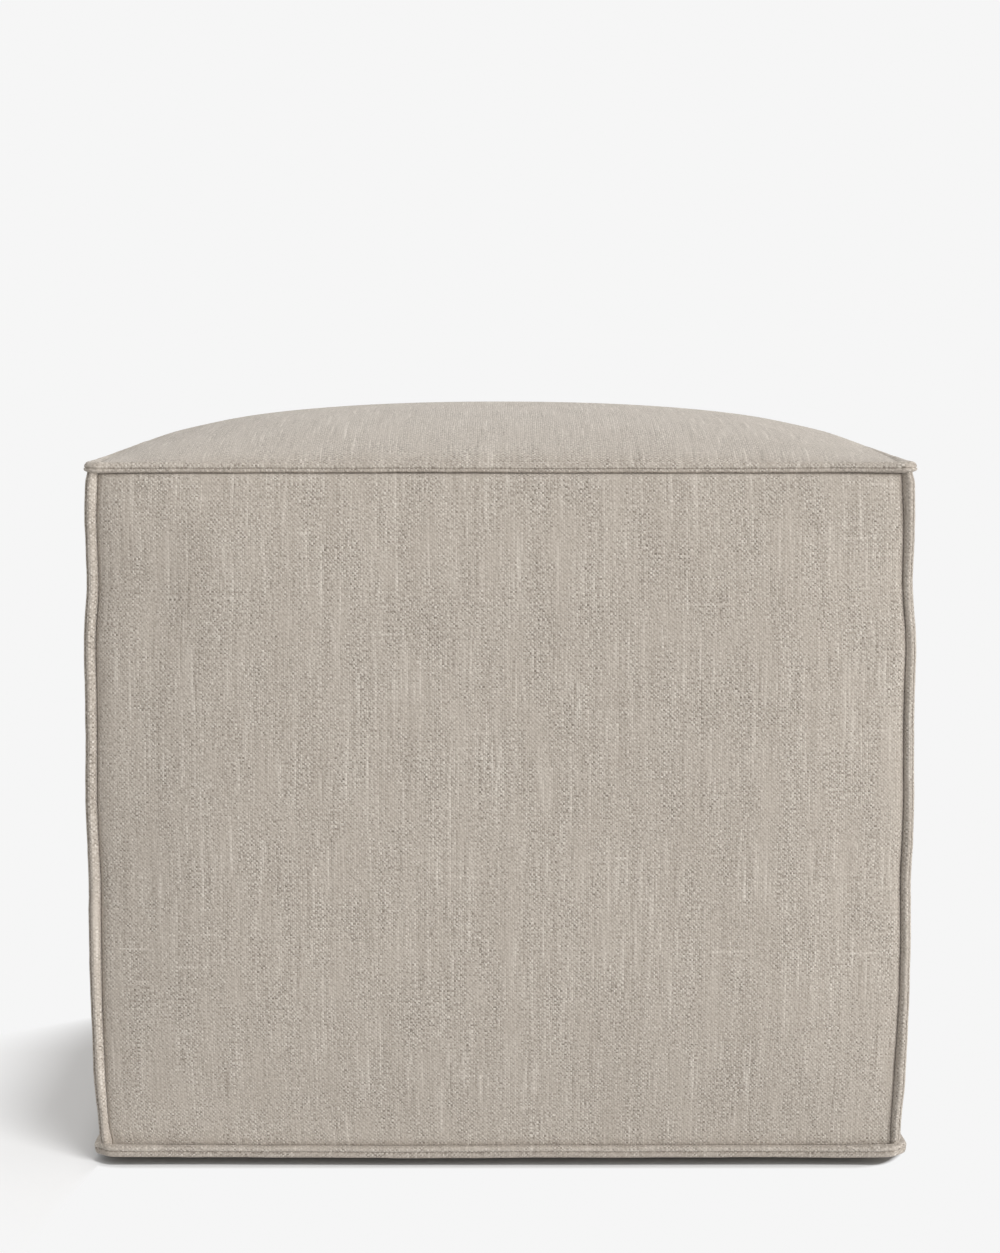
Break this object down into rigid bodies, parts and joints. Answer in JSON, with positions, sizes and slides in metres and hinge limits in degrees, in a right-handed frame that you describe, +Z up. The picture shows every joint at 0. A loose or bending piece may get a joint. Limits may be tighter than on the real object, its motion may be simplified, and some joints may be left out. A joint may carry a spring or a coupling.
{
  "type": "cube pouf stool",
  "caption": "Square filled pouf stool in plain-weave linen-look cloth, with a crowned top, softly crowned sides, a flat base and narrow flanged seams along every edge.",
  "frame": {"origin": "on the floor, under the middle of the flat base", "axes": "+Z up out of the crowned top; -Y the side that faces the viewer in the picture; +X to the viewer's right"},
  "size_m": [0.5292, 0.5292, 0.4699],
  "materials": {
    "cover_cloth": "matt oatmeal plain weave with slubs",
    "flange_cloth": "matt oatmeal plain weave, folded double in a French seam"
  },
  "bodies": {
    "root": {"filled_cube": "cover_cloth", "top_seam_flange": "flange_cloth", "base_seam_flange": "flange_cloth", "corner_seam_flange_1": "flange_cloth", "corner_seam_flange_2": "flange_cloth", "corner_seam_flange_3": "flange_cloth", "corner_seam_flange_4": "flange_cloth"}
  },
  "joints": []
}
